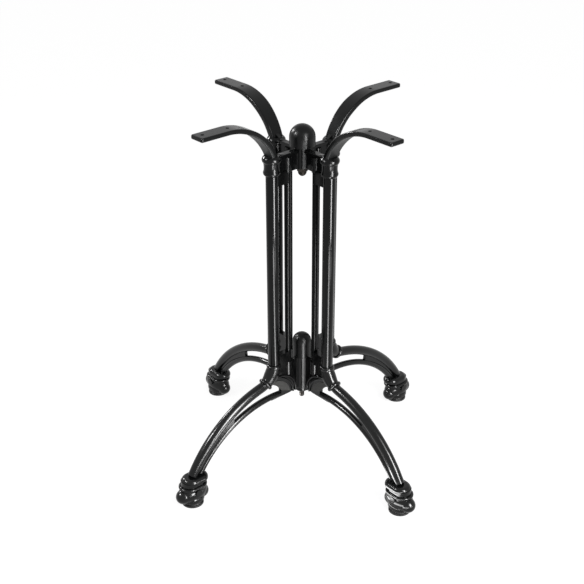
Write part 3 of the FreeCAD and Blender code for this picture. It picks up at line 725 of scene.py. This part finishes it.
class TABLEBASE_OT_tubes(bpy.types.Operator):
    """Draw the outer tubes and inner rods and coat them in smooth enamel"""
    bl_idname = "table_base.tubes"
    bl_label = "Tubes and Rods"
    bl_options = {"REGISTER", "UNDO"}

    def execute(self, context):
        look = context.scene.table_base_finish
        enamel = finish_material("Tube enamel", look.enamel_colour, look.tube_roughness,
                                 look.enamel_specular, change=0.03, peel=700, casting=30,
                                 bump=0.006)
        rod_enamel = finish_material("Rod enamel", look.enamel_colour, look.rod_roughness,
                                     look.enamel_specular / 2, change=0.03, peel=700,
                                     casting=30, bump=0.006)
        tube = self.tube(look)
        for row, piece in copy_round(tube, "Outer_tube").items():
            fit(piece, enamel, "tube_enamel", "outer_tube_" + row)
        rod = self.rod(look)
        for row, piece in copy_round(rod, "Inner_rod").items():
            fit(piece, rod_enamel, "tube_enamel", "inner_rod_" + row)
        return {"FINISHED"}

    def column(self, node):
        """Distance from the axis, radius and ends of a column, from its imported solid."""
        low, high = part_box(node)
        middle = ((low[0] + high[0]) / 2, (low[1] + high[1]) / 2)
        return math.hypot(*middle), (high[0] - low[0]) / 2, low[2], high[2]

    def tube(self, look):
        out, radius, low, high = self.column("outer_tube_front_left")
        piece = new_round("Outer_tube", radius, low, high, 96)
        edit(piece)
        pick_faces(piece, lambda middle, normal: abs(normal.z) > 0.9)
        bpy.ops.mesh.inset(thickness=look.tube_wall, depth=0, use_individual=True)
        bpy.ops.mesh.bridge_edge_loops()
        pick_edges(piece, lambda middle, way, line: abs(way.z) < 0.1)
        bpy.ops.mesh.bevel(offset=0.0002, segments=2, affect="EDGES")
        close_edit()
        shade(piece)
        piece.data.transform(Matrix.Translation((out, 0, 0)))
        return piece

    def rod(self, look):
        out, radius, low, high = self.column("inner_rod_front_left")
        end = look.rod_thread_length
        piece = new_round("Inner_rod", radius, low + end, high - end, 72)
        edit(piece)
        for side in (1, -1):
            pick_faces(piece, lambda middle, normal: normal.z * side > 0.9)
            bpy.ops.mesh.inset(thickness=radius - look.rod_thread / 2, depth=0)
            raise_faces(side * end)
        pick_edges(piece, lambda middle, way, line: abs(way.z) < 0.1 and len(line.link_faces) == 2
                   and line.calc_face_angle(0) > 1)
        bpy.ops.mesh.bevel(offset=0.0004, segments=2, affect="EDGES")
        close_edit()
        shade(piece)
        piece.data.transform(Matrix.Translation((out, 0, 0)))
        return piece


class TABLEBASE_OT_studs(bpy.types.Operator):
    """Cut the threads of the studs and coat the cap nut and the flange nut"""
    bl_idname = "table_base.studs"
    bl_label = "Studs and Nuts"
    bl_options = {"REGISTER", "UNDO"}

    def execute(self, context):
        look = context.scene.table_base_finish
        steel = finish_material("Blackened stud", (0.09, 0.085, 0.08), 0.38, 0.5,
                                metallic=1.0, change=0.08, peel=1500, casting=250, bump=0.2)
        for name, node in (("Upper_stud", "upper_stud"), ("Lower_stud", "lower_stud")):
            fit(self.stud(look, name, node), steel, "stud_steel", node)
        brown = finish_material("Oxidised cap nut", look.nut_colour, 0.42, 0.5,
                                metallic=1.0, change=0.10, peel=1200, casting=300, bump=0.25)
        wear(brown, "upper_cap_nut")
        enamel = finish_material("Nut enamel", look.enamel_colour, look.enamel_roughness,
                                 0.22, change=0.05, peel=900, casting=120, bump=0.08)
        wear(enamel, "lower_flange_nut")
        return {"FINISHED"}

    def stud(self, look, name, node):
        """A core with chamfered ends and one closed helical ridge round it."""
        low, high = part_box(node)
        radius = (high[0] - low[0]) / 2
        pitch = look.stud_pitch
        depth = pitch * 0.6
        core = new_round(name, radius - depth, low[2], high[2], 48)
        edit(core)
        pick_edges(core, lambda middle, way, line: abs(way.z) < 0.1)
        bpy.ops.mesh.bevel(offset=0.0008, segments=2, affect="EDGES")
        close_edit()
        clear_selection()
        bpy.ops.mesh.primitive_circle_add(vertices=3, radius=1, fill_type="NOTHING",
                                          location=(0, 0, 0))
        ridge = bpy.context.object
        start = low[2] + 0.6 * pitch
        turns = int((high[2] - low[2] - 1.2 * pitch) / pitch)
        profile = ((radius, start), (radius - 1.3 * depth, start - 0.55 * pitch),
                   (radius - 1.3 * depth, start + 0.55 * pitch))
        for corner, (x, z) in zip(ridge.data.vertices, profile):
            corner.co = (x, 0, z)
        bpy.ops.object.modifier_add(type="SCREW")
        screw = ridge.modifiers[-1]
        screw.screw_offset = pitch
        screw.iterations = turns
        screw.steps = 32
        screw.render_steps = 32
        screw.use_merge_vertices = False
        bpy.ops.object.modifier_apply(modifier=screw.name)
        edit(ridge)
        bpy.ops.mesh.select_mode(type="EDGE")
        bpy.ops.mesh.select_non_manifold()
        bpy.ops.mesh.fill_holes(sides=4)
        bpy.ops.mesh.select_all(action="SELECT")
        bpy.ops.mesh.normals_make_consistent(inside=False)
        close_edit()
        shade(ridge, 40)
        shade(core, 40)
        clear_selection()
        ridge.select_set(True)
        core.select_set(True)
        bpy.context.view_layer.objects.active = core
        bpy.ops.object.join()
        return core


class TABLEBASE_OT_pads(bpy.types.Operator):
    """Mould the nylon foot pads with their rounded rim, step, plug and hollow sole"""
    bl_idname = "table_base.pads"
    bl_label = "Foot Pads"
    bl_options = {"REGISTER", "UNDO"}

    def execute(self, context):
        look = context.scene.table_base_finish
        nylon = finish_material("Moulded nylon", look.nylon_colour, 0.5, 0.35,
                                change=0.05, peel=2500, casting=400, bump=0.3)
        for row, piece in copy_round(self.pad(look), "Foot_pad").items():
            fit(piece, nylon, "pad_nylon", "foot_pad_" + row)
        return {"FINISHED"}

    def pad(self, look):
        low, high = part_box("foot_pad_front_left")
        radius = (high[0] - low[0]) / 2
        out = math.hypot((low[0] + high[0]) / 2, (low[1] + high[1]) / 2)
        piece = new_round("Foot_pad", radius, 0, look.pad_rim_height, 96)
        edit(piece)
        pick_faces(piece, lambda middle, normal: normal.z > 0.9)
        bpy.ops.mesh.inset(thickness=look.pad_step, depth=0)
        raise_faces(look.pad_height - look.pad_rim_height)
        bpy.ops.mesh.inset(thickness=radius - look.pad_step - look.pad_plug / 2, depth=0)
        raise_faces(high[2] - look.pad_height)
        pick_faces(piece, lambda middle, normal: normal.z < -0.9)
        bpy.ops.mesh.inset(thickness=0.0035, depth=0)
        raise_faces(0.0012)
        pick_edges(piece, lambda middle, way, line: abs(way.z) < 0.1
                   and line.calc_face_angle(0) > 1)
        bpy.ops.mesh.bevel(offset=0.0006, segments=3, affect="EDGES")
        close_edit()
        shade(piece)
        piece.data.transform(Matrix.Translation((out, 0, 0)))
        return piece


# Studio


class TABLEBASE_OT_studio(bpy.types.Operator):
    """Lay the pale floor, hang the soft boxes and set the camera"""
    bl_idname = "table_base.studio"
    bl_label = "Studio"
    bl_options = {"REGISTER", "UNDO"}

    def execute(self, context):
        look = context.scene.table_base_studio
        self.lay_floor(look)
        self.lay_card(look)
        self.light(context, look)
        self.set_camera(context)
        context.scene.view_settings.view_transform = "Standard"
        return {"FINISHED"}

    def lay_floor(self, look):
        clear_selection()
        bpy.ops.mesh.primitive_circle_add(vertices=96, radius=9, fill_type="NGON",
                                          location=(0, 0, 0))
        floor = bpy.context.object
        floor.name = "Studio_floor"
        material = bpy.data.materials.new("Studio floor")
        material.use_nodes = True
        tree = material.node_tree
        tree.nodes.clear()
        out = tree.nodes.new("ShaderNodeOutputMaterial")
        matt = tree.nodes.new("ShaderNodeBsdfDiffuse")
        matt.inputs["Color"].default_value = (*look.floor_colour, 1)
        lift = tree.nodes.new("ShaderNodeEmission")
        ray = tree.nodes.new("ShaderNodeLightPath")
        seen = tree.nodes.new("ShaderNodeMath")
        seen.operation = "MAXIMUM"
        tree.links.new(ray.outputs["Is Camera Ray"], seen.inputs[0])
        tree.links.new(ray.outputs["Is Glossy Ray"], seen.inputs[1])
        also = tree.nodes.new("ShaderNodeMath")
        also.operation = "MAXIMUM"
        tree.links.new(seen.outputs["Value"], also.inputs[0])
        tree.links.new(ray.outputs["Is Transmission Ray"], also.inputs[1])
        power = tree.nodes.new("ShaderNodeMath")
        power.operation = "MULTIPLY"
        power.inputs[1].default_value = look.floor_lift
        tree.links.new(also.outputs["Value"], power.inputs[0])
        tree.links.new(power.outputs["Value"], lift.inputs["Strength"])
        both = tree.nodes.new("ShaderNodeAddShader")
        tree.links.new(matt.outputs["BSDF"], both.inputs[0])
        tree.links.new(lift.outputs["Emission"], both.inputs[1])
        tree.links.new(both.outputs["Shader"], out.inputs["Surface"])
        floor.data.materials.append(material)

    def lay_card(self, look):
        """A lit wedge of card on the floor, which the upright tubes mirror as a thin line."""
        clear_selection()
        bpy.ops.mesh.primitive_plane_add(size=1, location=(0, 0, 0))
        card = bpy.context.object
        card.name = "Studio_card"
        for corner in card.data.vertices:
            near = corner.co.y > 0
            angle = math.radians(look.card_azimuth - (0 if near else look.card_turn))
            out = Vector((math.sin(angle), -math.cos(angle), 0))
            side = Vector((-out.y, out.x, 0))
            distance = look.card_start if near else look.card_end
            lateral = look.card_slope * distance * (1 if corner.co.x > 0 else -1)
            corner.co = out * distance + side * lateral + Vector((0, 0, 0.002))
        self.mirror_only(card, look.card_strength)

    def hang_window(self, name, azimuth, elevation, distance, aim, width, height, strength):
        """A glowing pane that only the gloss of the enamel mirrors."""
        a, e = math.radians(azimuth), math.radians(elevation)
        back = Vector((math.sin(a) * math.cos(e), -math.cos(a) * math.cos(e), math.sin(e)))
        clear_selection()
        bpy.ops.mesh.primitive_plane_add(size=1)
        pane = bpy.context.object
        pane.name = name
        pane.scale = (width, height, 1)
        pane.rotation_euler = (-back).to_track_quat("-Z", "Y").to_euler()
        pane.location = Vector(aim) + back * distance
        bpy.ops.object.transform_apply(location=True, rotation=True, scale=True)
        self.mirror_only(pane, strength)

    def mirror_only(self, pane, strength):
        pane.visible_diffuse = False
        pane.visible_shadow = False
        pane.visible_camera = False
        material = bpy.data.materials.new(pane.name)
        material.use_nodes = True
        shader = material.node_tree.nodes["Principled BSDF"]
        shader.inputs["Base Color"].default_value = (0.8, 0.8, 0.8, 1)
        shader.inputs["Emission Color"].default_value = (1, 1, 1, 1)
        shader.inputs["Emission Strength"].default_value = strength
        pane.data.materials.append(material)

    def soft_box(self, name, azimuth, elevation, distance, aim, width, height, power):
        a, e = math.radians(azimuth), math.radians(elevation)
        back = Vector((math.sin(a) * math.cos(e), -math.cos(a) * math.cos(e), math.sin(e)))
        data = bpy.data.lights.new(name, "AREA")
        data.shape = "RECTANGLE"
        data.size = width
        data.size_y = height
        data.energy = power
        lamp = bpy.data.objects.new(name, data)
        bpy.context.collection.objects.link(lamp)
        lamp.location = Vector(aim) + back * distance
        lamp.rotation_euler = (-back).to_track_quat("-Z", "Y").to_euler()
        return lamp

    def light(self, context, look):
        self.soft_box("Key", 38, 35, 2.2, (0, 0, 0.3), 0.9, 0.9, look.key_power)
        self.soft_box("Left", -60, 35, 2.4, (0, 0, 0.4), 0.9, 0.9, look.left_power)
        self.hang_window("Tall_window", 40, 6, 1.6, (0, 0, 0.45), 0.42, 1.15,
                         look.window_strength)
        self.hang_window("Low_window", 47, 0, 0.85, (0, 0, 0.10), 0.40, 0.17,
                         look.low_strength)
        self.hang_window("Left_window", -72, 30, 2.4, (0, 0, 0.66), 0.40, 0.40,
                         look.spot_strength)
        self.hang_window("Rear_window", -121, 21.5, 2.4, (0, 0, 0.66), 0.34, 0.34,
                         look.spot_strength)
        world = bpy.data.worlds.new("Studio")
        context.scene.world = world
        world.use_nodes = True
        tree = world.node_tree
        back = tree.nodes["Background"]
        back.inputs["Color"].default_value = (1, 1, 1, 1)
        ray = tree.nodes.new("ShaderNodeLightPath")
        seen = tree.nodes.new("ShaderNodeMath")
        seen.operation = "MAXIMUM"
        tree.links.new(ray.outputs["Is Camera Ray"], seen.inputs[0])
        tree.links.new(ray.outputs["Is Transmission Ray"], seen.inputs[1])
        also = tree.nodes.new("ShaderNodeMath")
        also.operation = "MAXIMUM"
        tree.links.new(seen.outputs["Value"], also.inputs[0])
        tree.links.new(ray.outputs["Is Glossy Ray"], also.inputs[1])
        level = tree.nodes.new("ShaderNodeMapRange")
        level.inputs["To Min"].default_value = look.sky_level
        level.inputs["To Max"].default_value = 1.0
        tree.links.new(also.outputs["Value"], level.inputs["Value"])
        tree.links.new(level.outputs["Result"], back.inputs["Strength"])

    def set_camera(self, context):
        azimuth, elevation, roll = (math.radians(v) for v in (3.224, 27.301, -0.143))
        back = Vector((math.sin(azimuth) * math.cos(elevation),
                       -math.cos(azimuth) * math.cos(elevation), math.sin(elevation)))
        data = bpy.data.cameras.new("Camera")
        camera = bpy.data.objects.new("Camera", data)
        context.collection.objects.link(camera)
        camera.location = Vector((0, 0, 0.36)) + back * 2.12988
        turn = (-back).to_track_quat("-Z", "Y").to_matrix()
        turn = turn @ Matrix.Rotation(-roll, 3, "Z")
        camera.rotation_euler = turn.to_euler()
        data.sensor_width = 36
        data.lens = 1119.47 / PHOTO_SIDE * 36
        data.shift_x = -9.99 / PHOTO_SIDE
        data.shift_y = -2.62 / PHOTO_SIDE
        data.clip_start = 0.05
        data.clip_end = 60
        context.scene.camera = camera


# Panel


class TABLEBASE_PT_panel(bpy.types.Panel):
    bl_label = "Table Base"
    bl_idname = "TABLEBASE_PT_panel"
    bl_space_type = "VIEW_3D"
    bl_region_type = "UI"
    bl_category = "Table Base"

    def draw(self, context):
        layout = self.layout
        for settings in (context.scene.table_base_finish, context.scene.table_base_studio):
            for name in settings.__annotations__:
                layout.prop(settings, name)
        for operator in OPERATORS:
            layout.operator(operator.bl_idname)


OPERATORS = (
    TABLEBASE_OT_castings,
    TABLEBASE_OT_arms,
    TABLEBASE_OT_tubes,
    TABLEBASE_OT_studs,
    TABLEBASE_OT_pads,
    TABLEBASE_OT_studio,
)
CLASSES = (TableBaseFinish, TableBaseStudio) + OPERATORS + (TABLEBASE_PT_panel,)


def register():
    for item in CLASSES:
        bpy.utils.register_class(item)
    bpy.types.Scene.table_base_finish = bpy.props.PointerProperty(type=TableBaseFinish)
    bpy.types.Scene.table_base_studio = bpy.props.PointerProperty(type=TableBaseStudio)


def unregister():
    del bpy.types.Scene.table_base_studio
    del bpy.types.Scene.table_base_finish
    for item in reversed(CLASSES):
        bpy.utils.unregister_class(item)


def main():
    register()
    bpy.ops.table_base.castings()
    bpy.ops.table_base.arms()
    bpy.ops.table_base.tubes()
    bpy.ops.table_base.studs()
    bpy.ops.table_base.pads()
    bpy.ops.table_base.studio()


if __name__ == "__main__":
    main()
